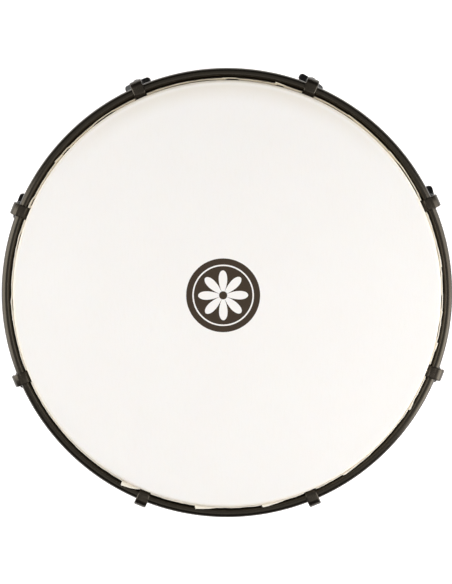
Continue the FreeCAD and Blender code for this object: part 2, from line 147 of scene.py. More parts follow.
# Camera
LENS = 111.3                        # millimetres
CAMERA_PLACE = (0.0, 0.12, 1.60)
CAMERA_AIM = (-0.8 * MM, 2.3 * MM, HOOP_HEIGHT)
CAMERA_ROLL = -0.6                  # degrees


# ---------------------------------------------------------------- meshes

def loft(name, rows, around=True, caps=False):
    """A mesh through rows of points. around joins the last row to the first, caps closes both ends."""
    points = [point for row in rows for point in row]
    wide = len(rows[0])
    faces = []
    for row in range(len(rows) if around else len(rows) - 1):
        here, there = row * wide, (row + 1) % len(rows) * wide
        for column in range(wide):
            beside = (column + 1) % wide
            faces.append((here + column, here + beside, there + beside, there + column))
    if caps:
        faces.append(tuple(range(wide)))
        faces.append(tuple(range(len(points) - wide, len(points))))
    mesh = bpy.data.meshes.new(name)
    mesh.from_pydata(points, [], faces)
    clean(mesh)
    return mesh


def clean(mesh):
    """Merges points that meet and turns every face outwards."""
    shape = bmesh.new()
    shape.from_mesh(mesh)
    bmesh.ops.remove_doubles(shape, verts=shape.verts, dist=MERGE)
    bmesh.ops.recalc_face_normals(shape, faces=shape.faces)
    shape.to_mesh(mesh)
    shape.free()
    mesh.shade_smooth()


def revolve(name, section_at, steps):
    """A mesh turned about the drum's axis. section_at(azimuth) gives the closed section there."""
    rows = []
    for step in range(steps):
        azimuth = math.tau * step / steps
        across, along = math.cos(azimuth), math.sin(azimuth)
        section = section_at(azimuth)
        rows.append([(radius * across, radius * along, height) for radius, height in section])
    return loft(name, rows)


def on_circle(centre, radius, degrees):
    """The point of a section that lies at an angle on a circle."""
    turn = math.radians(degrees)
    return centre[0] + radius * math.cos(turn), centre[1] + radius * math.sin(turn)


def arc(centre, radius, start, end, steps):
    """Points on an arc of a section, from one angle to another in degrees."""
    turns = [start + (end - start) * step / steps for step in range(steps + 1)]
    return [on_circle(centre, radius, turn) for turn in turns]


def thicken(line, thickness):
    """A closed section round a line of points, half the thickness to each side."""
    left, right = [], []
    for index, (radius, height) in enumerate(line):
        before = line[max(index - 1, 0)]
        after = line[min(index + 1, len(line) - 1)]
        along = Vector((after[0] - before[0], after[1] - before[1])).normalized() * thickness / 2
        left.append((radius - along.y, height + along.x))
        right.append((radius + along.y, height - along.x))
    return left + right[::-1]


def ripple(azimuth, scale, seed):
    """Smooth noise from -1 to 1 round the rim, the same on both sides of azimuth 0."""
    return noise.noise(Vector((math.cos(azimuth) * scale, math.sin(azimuth) * scale, seed)))


def eased_copy(node, width):
    """A CAD node's shape with its sharp edges eased by a small bevel."""
    flat, sharp, crisp = math.radians(1), math.radians(35), math.radians(50)
    mesh = nodes[node].data.copy()
    shape = bmesh.new()
    shape.from_mesh(mesh)
    bmesh.ops.remove_doubles(shape, verts=shape.verts, dist=MERGE)
    bmesh.ops.dissolve_limit(shape, angle_limit=flat, verts=shape.verts, edges=shape.edges)
    edges = [
        edge for edge in shape.edges
        if len(edge.link_faces) == 2 and edge.calc_face_angle() > sharp]
    bmesh.ops.bevel(
        shape, geom=edges, offset=width, segments=2, profile=0.5, affect="EDGES", clamp_overlap=True)
    shape.to_mesh(mesh)
    shape.free()
    mesh.materials.clear()
    mesh.shade_smooth()
    mesh.set_sharp_from_angle(angle=crisp)
    return mesh


def cast_copy(node, voxel, passes):
    """A CAD node's shape with its edges and corners flowing together, as in a casting."""
    source = bpy.data.objects.new(node + "_source", nodes[node].data.copy())
    bpy.context.scene.collection.objects.link(source)
    remesh = source.modifiers.new("remesh", "REMESH")
    remesh.mode = "VOXEL"
    remesh.voxel_size = voxel
    smooth = source.modifiers.new("smooth", "SMOOTH")
    smooth.factor = 0.5
    smooth.iterations = passes
    evaluated = source.evaluated_get(bpy.context.evaluated_depsgraph_get())
    mesh = bpy.data.meshes.new_from_object(evaluated)
    bpy.data.objects.remove(source)
    mesh.materials.clear()
    mesh.shade_smooth()
    return mesh


def piece(name, mesh, material, slot, body, *replaced):
    """A new piece that rides on a body and hides the CAD nodes it stands for. Its slot argument is not
    used.
    """
    made = bpy.data.objects.new(name, mesh)
    bpy.context.scene.collection.objects.link(made)
    mesh.materials.append(material)
    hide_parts(*replaced)
    if body:
        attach(made, body)
    return made


# ---------------------------------------------------------------- shader nodes

def start_material(name):
    """A material with one Principled shader. Returns the material, its tree and the shader."""
    material = bpy.data.materials.new(name)
    material.use_nodes = True
    tree = material.node_tree
    tree.nodes.clear()
    output = tree.nodes.new("ShaderNodeOutputMaterial")
    shader = tree.nodes.new("ShaderNodeBsdfPrincipled")
    tree.links.new(shader.outputs["BSDF"], output.inputs["Surface"])
    return material, tree, shader


def plug(tree, socket, value):
    """Links a socket into an input, or sets the input to a plain value."""
    if isinstance(value, bpy.types.NodeSocket):
        tree.links.new(value, socket)
    elif hasattr(value, "__len__") and len(value) == 3 and socket.type == "RGBA":
        socket.default_value = (*value, 1)
    else:
        socket.default_value = value


def place(tree):
    """The point on the surface in the drum's own frame, in metres."""
    return tree.nodes.new("ShaderNodeTexCoord").outputs["Object"]


def parts(tree, vector):
    """The X, Y and Z of a vector."""
    node = tree.nodes.new("ShaderNodeSeparateXYZ")
    plug(tree, node.inputs[0], vector)
    return node.outputs[0], node.outputs[1], node.outputs[2]


def joined(tree, x, y, z):
    """A vector from its three parts."""
    node = tree.nodes.new("ShaderNodeCombineXYZ")
    for socket, value in zip(node.inputs, (x, y, z)):
        plug(tree, socket, value)
    return node.outputs[0]


def math_node(tree, operation, first, second=0.0, third=0.0):
    """The result of one Math node."""
    node = tree.nodes.new("ShaderNodeMath")
    node.operation = operation
    for socket, value in zip(node.inputs, (first, second, third)):
        plug(tree, socket, value)
    return node.outputs[0]


def distance_out(tree, x, y):
    """Length of the vector (x, y): how far a place is from the axis, or from a print's centre."""
    y_square = math_node(tree, "MULTIPLY", y, y)
    return math_node(tree, "SQRT", math_node(tree, "MULTIPLY_ADD", x, x, y_square))


def stretched(tree, vector, scale):
    """A vector with its parts multiplied by three numbers."""
    node = tree.nodes.new("ShaderNodeVectorMath")
    node.operation = "MULTIPLY"
    plug(tree, node.inputs[0], vector)
    node.inputs[1].default_value = scale
    return node.outputs[0]


def grain(tree, vector, size, detail=3.0, distortion=0.0):
    """Noise from 0 to 1 whose blotches are about size metres wide."""
    node = tree.nodes.new("ShaderNodeTexNoise")
    plug(tree, node.inputs["Vector"], vector)
    node.inputs["Scale"].default_value = 1 / size
    node.inputs["Detail"].default_value = detail
    node.inputs["Distortion"].default_value = distortion
    return node.outputs["Fac"]


def cells(tree, vector, size):
    """Distance to the nearest of scattered points about size metres apart, from 0."""
    node = tree.nodes.new("ShaderNodeTexVoronoi")
    plug(tree, node.inputs["Vector"], vector)
    node.inputs["Scale"].default_value = 1 / size
    return node.outputs["Distance"]


def step_to(tree, value, low, high, low_out=0.0, high_out=1.0):
    """A smooth step from low_out to high_out as value goes from low to high."""
    node = tree.nodes.new("ShaderNodeMapRange")
    node.interpolation_type = "SMOOTHSTEP"
    for socket, number in zip(node.inputs, (value, low, high, low_out, high_out)):
        plug(tree, socket, number)
    return node.outputs[0]


def blend_colours(tree, share, first, second):
    """A mix of two colours: the first where share is 0 and the second where it is 1."""
    node = tree.nodes.new("ShaderNodeMix")
    node.data_type = "RGBA"
    plug(tree, node.inputs[0], share)
    plug(tree, node.inputs[6], first)
    plug(tree, node.inputs[7], second)
    return node.outputs[2]


def tinted(tree, colour, tint, most, value, low, high):
    """A colour that takes on up to a share of most of a tint, as value goes from low to high."""
    return blend_colours(tree, step_to(tree, value, low, high, 0.0, most), colour, tint)


def relief(tree, shader, height, depth, strength=1.0):
    """Bump: height from 0 to 1 stands for depth metres."""
    node = tree.nodes.new("ShaderNodeBump")
    node.inputs["Strength"].default_value = strength
    node.inputs["Distance"].default_value = depth
    plug(tree, node.inputs["Height"], height)
    plug(tree, shader.inputs["Normal"], node.outputs[0])


# ---------------------------------------------------------------- materials

def print_mask(tree, x, y):
    """Where ink lies on the head: a disc that leaves a rosette of petals and a thin ring bare."""
    across = math_node(tree, "SUBTRACT", x, PRINT_CENTRE[0])
    along = math_node(tree, "SUBTRACT", y, PRINT_CENTRE[1])
    fray = grain(tree, joined(tree, x, y, 0.0), 0.7 * MM)
    reach = math_node(tree, "MULTIPLY_ADD", fray, INK_FRAY, distance_out(tree, across, along))
    turn = math_node(tree, "ARCTAN2", along, across)
    wave = math_node(tree, "COSINE", math_node(tree, "MULTIPLY", turn, PETALS / 2))
    lobe = math_node(tree, "POWER", math_node(tree, "ABSOLUTE", wave), 0.6)
    petal_edge = math_node(tree, "MULTIPLY", lobe, PETAL_LENGTH)
    past_petal = math_node(tree, "SUBTRACT", reach, petal_edge)
    outside_petal = step_to(tree, past_petal, -INK_SOFT, INK_SOFT)
    hub = step_to(tree, reach, HUB_RADIUS - INK_SOFT, HUB_RADIUS + INK_SOFT, 1.0, 0.0)
    from_ring = math_node(tree, "ABSOLUTE", math_node(tree, "SUBTRACT", reach, RING_RADIUS))
    off_ring = step_to(tree, from_ring, RING_HALF - INK_SOFT, RING_HALF + INK_SOFT)
    disc = step_to(tree, reach, PRINT_RADIUS - INK_SOFT, PRINT_RADIUS + INK_SOFT, 1.0, 0.0)
    inked = math_node(tree, "MAXIMUM", outside_petal, hub)
    inked = math_node(tree, "MULTIPLY", inked, off_ring)
    return math_node(tree, "MULTIPLY", inked, disc)


def bare_skin(tree, spot, fibre, pores):
    """The skin's own colour: mottled, with darker fibres and pores."""
    mottle = grain(tree, spot, 38 * MM, 4.0, 0.6)
    colour = blend_colours(tree, mottle, (0.860, 0.832, 0.804), (0.880, 0.860, 0.836))
    colour = tinted(tree, colour, (0.850, 0.822, 0.780), 0.35, fibre, 0.45, 0.75)
    pitted = step_to(tree, pores, 0.05, 0.25, 0.18, 0.0)
    return blend_colours(tree, pitted, colour, (0.70, 0.65, 0.58))


def tinted_and_shaded_rim(tree, colour, x, y, z):
    """The skin's colour: a cream tint towards its rim that is mostly painted shade on the top side,
    yellower over the shoulder's verge, and painted shade down in its fold.
    """
    radius = distance_out(tree, x, y)
    rim = step_to(tree, radius, 158 * MM, 179 * MM)
    shoulder = step_to(tree, radius, SHELL_OUTER - 4.5 * MM, SHELL_OUTER - 1.5 * MM, 1.0, 0.3)
    # painted shade: the cream tint grows towards the top, where the shoulder faces away from the lamps
    top_shade = step_to(tree, y, 85 * MM, 185 * MM, 0.03, 0.47)
    cream = math_node(tree, "MULTIPLY", math_node(tree, "MULTIPLY", rim, shoulder), top_shade)
    colour = blend_colours(tree, cream, colour, (0.66, 0.58, 0.44))
    verge_start, verge_end = SHELL_OUTER - 2.6 * MM, SHELL_OUTER + MM
    colour = tinted(tree, colour, (0.76, 0.64, 0.44), 0.45, radius, verge_start, verge_end)
    # painted shade down in the fold round the head
    fold = step_to(tree, z, HOOP_HEIGHT + MM, HOOP_HEIGHT + 4 * MM, FOLD_SHADE, 0.0)
    return blend_colours(tree, fold, colour, GAP_SHADE)


def printed(tree, colour, spot, x, y, z):
    """The skin's colour with the print on its face, and on its back a faint painted shadow of the
    print, as it would show through the skin.
    """
    ink = print_mask(tree, x, y)
    face, back = SKIN_TOP - SKIN_THICKNESS * 0.3, SKIN_TOP - SKIN_THICKNESS * 0.7
    # painted shade: a tenth of the ink on the back stands for the print's shadow seen through the skin
    seen_through = step_to(tree, z, back, face, 0.10, 1.0)
    worn = grain(tree, spot, 1.1 * MM, 4.0)
    ink_colour = blend_colours(tree, worn, (0.046, 0.026, 0.012), (0.031, 0.018, 0.007))
    return blend_colours(tree, math_node(tree, "MULTIPLY", ink, seen_through), colour, ink_colour)


def skin_material():
    """Natural goat skin, almost white, fibrous and a little translucent, with a print on its face."""
    material, tree, shader = start_material("goat_skin")
    spot = place(tree)
    x, y, z = parts(tree, spot)
    fibre = grain(tree, stretched(tree, spot, (1.0, 0.16, 1.0)), 1.6 * MM, 5.0, 0.4)
    pores = cells(tree, spot, 1.3 * MM)
    colour = tinted_and_shaded_rim(tree, bare_skin(tree, spot, fibre, pores), x, y, z)
    plug(tree, shader.inputs["Base Color"], printed(tree, colour, spot, x, y, z))
    plug(tree, shader.inputs["Roughness"], step_to(tree, fibre, 0.3, 0.8, 0.52, 0.66))
    shader.inputs["Specular IOR Level"].default_value = 0.35
    shader.inputs["Subsurface Weight"].default_value = 0.12
    shader.inputs["Subsurface Radius"].default_value = (1.0, 0.75, 0.5)
    shader.inputs["Subsurface Scale"].default_value = 0.8 * MM
    relief(tree, shader, math_node(tree, "MULTIPLY_ADD", pores, 0.3, fibre), 0.05 * MM)
    return material


def skin_end_material():
    """The trimmed end of the skin: cream and fibrous, with painted shade that makes it yellower and
    darker towards the top and darker down in its fold.
    """
    material, tree, shader = start_material("skin_edge")
    spot = place(tree)
    x, y, z = parts(tree, spot)
    patch = grain(tree, spot, 9 * MM, 3.0)
    fibre = grain(tree, stretched(tree, spot, (1.0, 1.0, 0.25)), 0.8 * MM, 5.0, 0.5)
    colour = blend_colours(tree, patch, (0.90, 0.86, 0.78), (0.87, 0.81, 0.69))
    # painted shade: yellower and darker towards the top, as on the head's rim
    colour = tinted(tree, colour, (0.87, 0.76, 0.55), 0.7, y, 20 * MM, 160 * MM)
    colour = tinted(tree, colour, (0.72, 0.62, 0.46), 0.4, fibre, 0.5, 0.8)
    radius = distance_out(tree, x, y)
    # painted shade on the end's inner face, low down in the fold
    inside = step_to(tree, radius, FLESH_RADIUS - 1.2 * MM, FLESH_RADIUS, FOLD_SHADE, 0.0)
    low = step_to(tree, z, HOOP_HEIGHT + 1.5 * MM, HOOP_HEIGHT + 3.5 * MM, 1.0, 0.0)
    colour = blend_colours(tree, math_node(tree, "MULTIPLY", inside, low), colour, GAP_SHADE)
    plug(tree, shader.inputs["Base Color"], colour)
    plug(tree, shader.inputs["Roughness"], step_to(tree, fibre, 0.3, 0.8, 0.6, 0.8))
    shader.inputs["Specular IOR Level"].default_value = 0.3
    relief(tree, shader, fibre, 0.12 * MM)
    return material


def coat_material(name, colour, roughness, peel, shine=0.5, reflection=(1.0, 1.0, 1.0)):
    """Black powder coat: orange peel of a size, uneven gloss, tinted reflections, a trace of dust."""
    material, tree, shader = start_material(name)
    spot = place(tree)
    pebble = grain(tree, spot, peel, 2.0)
    patch = grain(tree, spot, 14 * MM, 3.0)
    dust = step_to(tree, grain(tree, spot, 0.5 * MM, 6.0), 0.62, 0.75)
    brown = tuple(part * 1.5 for part in colour)
    tint = blend_colours(tree, patch, colour, brown)
    tint = blend_colours(tree, math_node(tree, "MULTIPLY", dust, 0.12), tint, (0.16, 0.15, 0.14))
    plug(tree, shader.inputs["Base Color"], tint)
    uneven = math_node(tree, "MULTIPLY_ADD", patch, 0.10, roughness - 0.05)
    plug(tree, shader.inputs["Roughness"], math_node(tree, "MULTIPLY_ADD", dust, 0.15, uneven))
    shader.inputs["Specular IOR Level"].default_value = shine
    shader.inputs["Specular Tint"].default_value = (*reflection, 1)
    relief(tree, shader, pebble, 0.03 * MM, 0.6)
    return material


def plated_material(name, colour, roughness):
    """Plated or bare metal with a fine drawn texture and patchy shine."""
    material, tree, shader = start_material(name)
    spot = place(tree)
    patch = grain(tree, spot, 3 * MM, 4.0)
    scratch = grain(tree, stretched(tree, spot, (1.0, 1.0, 0.15)), 0.25 * MM, 3.0)
    dull = tuple(part * 0.72 for part in colour)
    plug(tree, shader.inputs["Base Color"], blend_colours(tree, patch, colour, dull))
    uneven = math_node(tree, "MULTIPLY_ADD", scratch, 0.18, roughness - 0.09)
    plug(tree, shader.inputs["Roughness"], uneven)
    shader.inputs["Metallic"].default_value = 1.0
    relief(tree, shader, scratch, 0.01 * MM, 0.5)
    return material


def shell_material():
    """Bent plywood, satin brown lacquer: grain round the rim, a scarf joint, plies on its edges."""
    material, tree, shader = start_material("shell_wood")
    x, y, z = parts(tree, place(tree))
    radius = distance_out(tree, x, y)
    turn = math_node(tree, "MULTIPLY_ADD", z, SCARF_SLANT, math_node(tree, "ARCTAN2", y, x))
    round_once = math_node(tree, "FRACT", math_node(tree, "DIVIDE", turn, math.tau))
    along = math_node(tree, "MULTIPLY", round_once, math.tau * SHELL_OUTER)

    def board(squeeze):
        """The place on the straight board before it was bent, squeezed along its grain."""
        return joined(tree, math_node(tree, "MULTIPLY", along, squeeze), z, radius)

    figure = grain(tree, board(0.045), 9 * MM, 4.0, 1.2)
    streak = grain(tree, board(0.02), 0.9 * MM, 4.0)
    pore = grain(tree, board(0.05), 0.35 * MM, 2.0)
    colour = blend_colours(tree, figure, (0.205, 0.072, 0.022), (0.345, 0.140, 0.045))
    colour = tinted(tree, colour, (0.125, 0.042, 0.013), 0.55, streak, 0.35, 0.7)
    colour = tinted(tree, colour, (0.055, 0.020, 0.008), 0.6, pore, 0.60, 0.72)
    depth = math_node(tree, "SUBTRACT", radius, SHELL_OUTER - SHELL_WALL)
    layer = math_node(tree, "FLOOR", math_node(tree, "DIVIDE", depth, PLY))
    odd = math_node(tree, "MODULO", layer, 2.0)
    colour = blend_colours(tree, math_node(tree, "MULTIPLY", odd, 0.45), colour, (0.16, 0.07, 0.03))
    from_middle = math_node(tree, "ABSOLUTE", math_node(tree, "SUBTRACT", round_once, 0.5))
    colour = tinted(tree, colour, (0.05, 0.022, 0.012), 0.8, from_middle, 0.4994, 0.4998)
    plug(tree, shader.inputs["Base Color"], colour)
    plug(tree, shader.inputs["Roughness"], step_to(tree, streak, 0.3, 0.8, 0.30, 0.44))
    shader.inputs["Coat Weight"].default_value = 0.25
    shader.inputs["Coat Roughness"].default_value = 0.22
    relief(tree, shader, math_node(tree, "MULTIPLY_ADD", pore, -0.6, streak), 0.05 * MM, 0.8)
    return material


def bar_material():
    """Oiled hardwood with its grain along the bar."""
    material, tree, shader = start_material("bar_wood")
    spot = place(tree)
    figure = grain(tree, stretched(tree, spot, (1.0, 0.05, 1.0)), 6 * MM, 4.0, 1.5)
    streak = grain(tree, stretched(tree, spot, (1.0, 0.02, 1.0)), 0.8 * MM, 4.0)
    fleck = grain(tree, stretched(tree, spot, (1.0, 0.08, 1.0)), 0.4 * MM, 2.0)
    colour = blend_colours(tree, figure, (0.50, 0.29, 0.145), (0.63, 0.41, 0.235))
    colour = tinted(tree, colour, (0.40, 0.22, 0.105), 0.5, streak, 0.35, 0.7)
    colour = tinted(tree, colour, (0.24, 0.12, 0.055), 0.5, fleck, 0.6, 0.72)
    plug(tree, shader.inputs["Base Color"], colour)
    plug(tree, shader.inputs["Roughness"], step_to(tree, streak, 0.3, 0.8, 0.42, 0.58))
    relief(tree, shader, math_node(tree, "MULTIPLY_ADD", fleck, -0.6, streak), 0.06 * MM, 0.8)
    return material


# ---------------------------------------------------------------- skin

HEAD_RINGS = (0.0, 0.12, 0.3, 0.5, 0.7, 0.85, 0.95)     # shares of the flat head's radius


def skin_section(azimuth):
    """Skin across the head, over the bearing edge, down the side and under the flesh hoop."""
    middle = SKIN_TOP - SKIN_THICKNESS / 2
    bend = (SHELL_OUTER - SKIN_BEND, SHELL_DEPTH - SKIN_BEND)
    line = [(bend[0] * share, middle) for share in HEAD_RINGS]
    line += arc(bend, middle - bend[1], 90, 0, steps=10)
    side = SKIN_OUTER - SKIN_THICKNESS / 2
    drop = bend[1] - FLESH_HEIGHT
    for share in (0.25, 0.5, 0.75):
        pucker = PUCKER * share * ripple(azimuth, 40.0, share)
        line.append((side + pucker, bend[1] - drop * share))
    line += arc((FLESH_RADIUS, FLESH_HEIGHT), WRAP_RADIUS, 180, 360 + WRAP_START, steps=6)
    return thicken(line, SKIN_THICKNESS)


def add_drum_skin(material):
    """The head and its side, one stretched sheet from the shell to the flesh hoop."""
    mesh = revolve("drum_skin", skin_section, steps=360)
    skin = piece("drum_skin", mesh, material, "goat_skin", None, "skin_head")
    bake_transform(skin)


# Each cut of the knife that trimmed the skin: tip azimuth and foot azimuth in degrees, and how far
# its tip lies over the hoop in millimetres
TRIMS = [
    (7, 13, 0.6), (41, 32, 0.5), (55.5, 49, 0.5), (76.7, 73, 1.3), (90.5, 86, 0.5), (141.7, 135.5, 0.9),
    (155.7, 152, 1.2), (186, 179, 0.4), (240.2, 245.2, 3.0), (260.9, 266.6, 2.3), (279, 285.2, 1.7),
    (302.2, 312, 1.0), (327.2, 329.8, 1.3), (346.7, 343.5, 1.0), (355, 351, 0.4),
]

# Where the trimmed end stands off from the head: first and last azimuth in degrees, and the gap in
# millimetres
GAPS = [
    (4, 6, 0.6), (9, 13, 0.5), (26, 38.6, 1.2), (52, 64, 0.4), (74, 76.5, 0.8), (86, 90, 1.1),
    (92, 108, 0.4), (120, 128, 1.2), (136, 139, 1.0), (152.5, 155, 1.0), (162, 168, 0.9),
    (180, 184, 0.9), (293, 302, 0.4), (322, 337, 0.4), (347, 352.6, 1.1), (355, 360, 1.2),
]

NOTCH_HALF = 1.6                    # degrees to each side of a claw's lip
NOTCH_DROP = 2.6 * MM               # from the hoop's middle down to the end's foot behind a lip
NOTCH_RISE = 2.4 * MM               # height of the end there
TAIL_STEPS = 6


def overhang(degrees):
    """How far the trimmed end reaches over the hoop, in metres."""
    reach = 0.0
    for tip, foot, height in TRIMS:
        share = (degrees - foot) / (tip - foot)
        if 0 <= share <= 1:
            reach = max(reach, height * share ** 0.8)
    return reach * MM


def stand_off(degrees):
    """The gap between the head's side and the end, in metres. It opens over a fifth of its length."""
    gap = 0.0
    for first, last, width in GAPS:
        share = (degrees - first) / (last - first)
        if 0 < share < 1:
            gap = max(gap, width * min(1.0, 5 * min(share, 1 - share)))
    return gap * MM


def is_notched(azimuth):
    """Whether the end is cut away for a claw's lip."""
    for x, y, _ in STATIONS:
        beside = (azimuth - math.atan2(y, x) + math.pi) % math.tau - math.pi
        if abs(math.degrees(beside)) < NOTCH_HALF:
            return True
    return False


def tail(azimuth):
    """The free end's middle line, up the head's side and then leaning out to the hoop.

    A tip that the knife left reaches further out and stands a little higher.
    """
    shares = [step / TAIL_STEPS for step in range(TAIL_STEPS + 1)]
    if is_notched(azimuth):
        return [(TAIL_REST, HOOP_HEIGHT - NOTCH_DROP + NOTCH_RISE * share) for share in shares]
    degrees = math.degrees(azimuth) % 360
    stand = TAIL_REST + stand_off(degrees)
    reach = overhang(degrees)
    foot = Vector((stand, HOOP_HEIGHT + TAIL_FOOT + 0.4 * MM * ripple(azimuth, 14.0, 8.0)))
    bend = Vector((stand + 0.15 * MM, foot.y + TAIL_BEND))
    hoop_inner = HOOP_RADIUS - HOOP_ROD / 2
    edge = hoop_inner - TAIL_CLEARANCE + 0.3 * MM * ripple(azimuth, 30.0, 5.0) + 1.2 * reach
    rise = TAIL_RISE + 0.5 * MM * ripple(azimuth, 22.0, 3.0) + 0.2 * MM * ripple(azimuth, 70.0, 6.0)
    tip = Vector((edge, HOOP_HEIGHT + rise + 0.3 * reach))
    return [
        tuple(foot * (1 - share) ** 2 + bend * 2 * share * (1 - share) + tip * share ** 2)
        for share in shares]


def skin_end_section(azimuth):
    """Skin end from under the flesh hoop, round it and up between the head's side and the hoop."""
    wrap = arc((FLESH_RADIUS, FLESH_HEIGHT), WRAP_RADIUS, WRAP_START, WRAP_END, steps=18)
    return thicken(wrap + tail(azimuth), SKIN_THICKNESS)


def add_skin_end(material):
    """The ragged trimmed end of the skin, standing up between the head and the hoop."""
    mesh = revolve("skin_end", skin_end_section, steps=1440)
    end = piece("skin_end", mesh, material, "skin_edge", "tension_ring", "skin_collar")


# ---------------------------------------------------------------- hoop and claws

HOOP_SIDES = 32                     # points round its rod


def add_hoop(material):
    """The tension hoop, a bent steel rod."""
    last = 360 - 360 / HOOP_SIDES
    rod = arc((HOOP_RADIUS, HOOP_HEIGHT), HOOP_ROD / 2, 0, last, HOOP_SIDES - 1)
    mesh = revolve("hoop", lambda azimuth: rod, steps=512)
    piece("hoop", mesh, material, "hoop_black", "tension_ring", "tension_hoop")


CORNER_POINTS = 6
FORGED_STEPS = 8
THREAD_STEPS = 6                    # sections to each turn of the thread


def bar_section(centre, outwards, width, thickness, edge, crown):
    """A rounded rectangle across a path in the XZ plane, at azimuth 0.

    crown rounds its outer corners and edge its inner ones. It is a circle when both are half its size.
    """
    points = []
    for quarter, (side, face) in enumerate(((1, 1), (-1, 1), (-1, -1), (1, -1))):
        corner = crown if face > 0 else edge
        for index in range(CORNER_POINTS):
            turn = math.radians(90 * (quarter + (index + 0.5) / CORNER_POINTS))
            across = side * (width / 2 - corner) + corner * math.cos(turn)
            out = face * (thickness / 2 - corner) + corner * math.sin(turn)
            points.append(Vector((
                centre[0] + outwards[0] * out, across, centre[1] + outwards[1] * out)))
    return points


def strap_path():
    """Middle of the strap as (point, outward direction), from the lip's foot to the leg's foot."""
    half = STRAP_THICKNESS / 2
    lip = LIP_INNER + half
    lip_round = LIP_BEND + half
    top = STRAP_TOP - half
    lip_centre = (lip + lip_round, top - lip_round)
    leg_round = STRAP_BEND - half
    leg_centre = (STRAP_OUTER - STRAP_BEND, STRAP_TOP - STRAP_BEND)
    steps = [((lip, HOOP_HEIGHT), 180), ((lip, HOOP_HEIGHT + MM), 180)]
    for turn in range(180, 80, -10):
        steps.append((on_circle(lip_centre, lip_round, turn), turn))
    flat = leg_centre[0] - lip_centre[0]
    for share in (0.35, 0.7):
        steps.append(((lip_centre[0] + flat * share, top), 90))
    steps.append(((leg_centre[0], top - CREASE), 90))
    for turn in (82, 74, 66, 54, 42, 30, 18, 9, 0):
        steps.append((on_circle(leg_centre, leg_round, turn), turn))
    return [(point, on_circle((0, 0), 1, turn)) for point, turn in steps]


def strap_width(radius):
    """Width of the strap at a distance from the drum's axis; it narrows to its lip."""
    share = min(1.0, max(0.0, (radius - LIP_INNER) / (HOOP_RADIUS - LIP_INNER)))
    return STRAP_TIP_WIDTH + (STRAP_WIDTH - STRAP_TIP_WIDTH) * share


def strap_section(point, outwards, inset=0.0):
    """A section of the strap, or one that lies inset metres inside it all round."""
    ease = 1 - 2 * inset / STRAP_THICKNESS
    return bar_section(
        point, outwards, strap_width(point[0]) - 2 * inset, STRAP_THICKNESS - 2 * inset,
        STRAP_EDGE * ease, STRAP_CROWN * ease)


def eased(first, last, share):
    """A value on the way from first to last, slow at both ends."""
    return first + (last - first) * share * share * (3 - 2 * share)


def neck_rows(leg_radius, top, outwards):
    """The forged neck at azimuth 0, which turns the flat strap into the round stud."""
    rows = []
    for step in range(1, FORGED_STEPS + 1):
        share = step / FORGED_STEPS
        rows.append(bar_section(
            (eased(leg_radius, STUD_RADIUS, share), top - FORGED_LENGTH * share), outwards,
            eased(STRAP_WIDTH, STUD_DIAMETER, share), eased(STRAP_THICKNESS, STUD_DIAMETER, share),
            eased(STRAP_EDGE, STUD_DIAMETER / 2, share), eased(STRAP_CROWN, STUD_DIAMETER / 2, share)))
    return rows


def claw_rows():
    """Sections of a claw at azimuth 0: lip, strap, forged neck, threaded stud."""
    path = strap_path()
    (radius, height), outwards = path[0]
    rows = [
        strap_section((radius, height + lift * MM), outwards, inset * MM) for inset, lift in LIP_FOOT]
    rows += [strap_section(point, outwards) for point, outwards in path[1:]]
    (leg_radius, bend_foot), outwards = path[-1]
    foot = bend_foot - STRAP_THICKNESS
    rows.append(strap_section((leg_radius, foot), outwards))
    return rows + neck_rows(leg_radius, foot, outwards) + stud_rows(foot - FORGED_LENGTH)


def round_section(height):
    """A circle round the stud's axis, at azimuth 0."""
    plain = STUD_DIAMETER / 2
    return bar_section((STUD_RADIUS, height), (1, 0), 2 * plain, 2 * plain, plain, plain)


def stud_rows(top):
    """The round stud below the neck, with its rolled thread and its chamfered end."""
    plain = STUD_DIAMETER / 2
    thread_top = STUD_FOOT + THREAD_LENGTH
    above_thread = thread_top + (top - thread_top) * 0.3
    rows = [round_section(above_thread)]
    steps = round(THREAD_LENGTH / THREAD_PITCH * THREAD_STEPS)
    for step in range(steps + 1):
        height = thread_top - THREAD_LENGTH * step / steps
        run_in = min(1.0, (thread_top - height) / THREAD_PITCH)
        chamfer = max(0.0, STUD_CHAMFER - (height - STUD_FOOT))
        circle = round_section(height)
        for point in circle:
            turn = math.atan2(point.y, point.x - STUD_RADIUS) / math.tau
            wave = abs((height / THREAD_PITCH - turn) % 1.0 - 0.5) * 2
            cut = (THREAD_CREST + THREAD_DEPTH * (1 - wave)) * run_in + chamfer
            share = 1 - cut / plain
            point.x = STUD_RADIUS + (point.x - STUD_RADIUS) * share
            point.y = point.y * share
        rows.append(circle)
    return rows


def add_claws(material):
    """The eight claw hooks, each in its own place round the rim."""
    rows = claw_rows()
    for number, (x, y, _) in enumerate(STATIONS, start=1):
        name = "claw_%d" % number
        turn = Matrix.Rotation(math.atan2(y, x), 3, "Z")
        turned = [[turn @ point for point in row] for row in rows]
        mesh = loft(name, turned, around=False, caps=True)
        piece(name, mesh, material, "claw_black", "tension_ring", "claw_hook_%d" % number)


# ---------------------------------------------------------------- tuning gear and wood

def add_tuning_gear(nut_finish, bracket_finish):
    """The wing nuts as castings and the brackets as pressings with eased edges."""
    for number in range(1, len(STATIONS) + 1):
        nut = cast_copy("wing_nut_%d" % number, CASTING_VOXEL, CASTING_PASSES)
        piece(
            "wing_nut_casting_%d" % number, nut, nut_finish, "wing_nut_black",
            "nut_%d" % number, "wing_nut_%d" % number)
        bracket = eased_copy("lug_bracket_%d" % number, PRESSED_EDGE)
        piece(
            "bracket_%d" % number, bracket, bracket_finish, "bracket_black",
            "shell", "lug_bracket_%d" % number)


def dress(node, material):
    """Gives a CAD node that stays its material."""
    slots = nodes[node].data.materials
    slots.clear()
    slots.append(material)


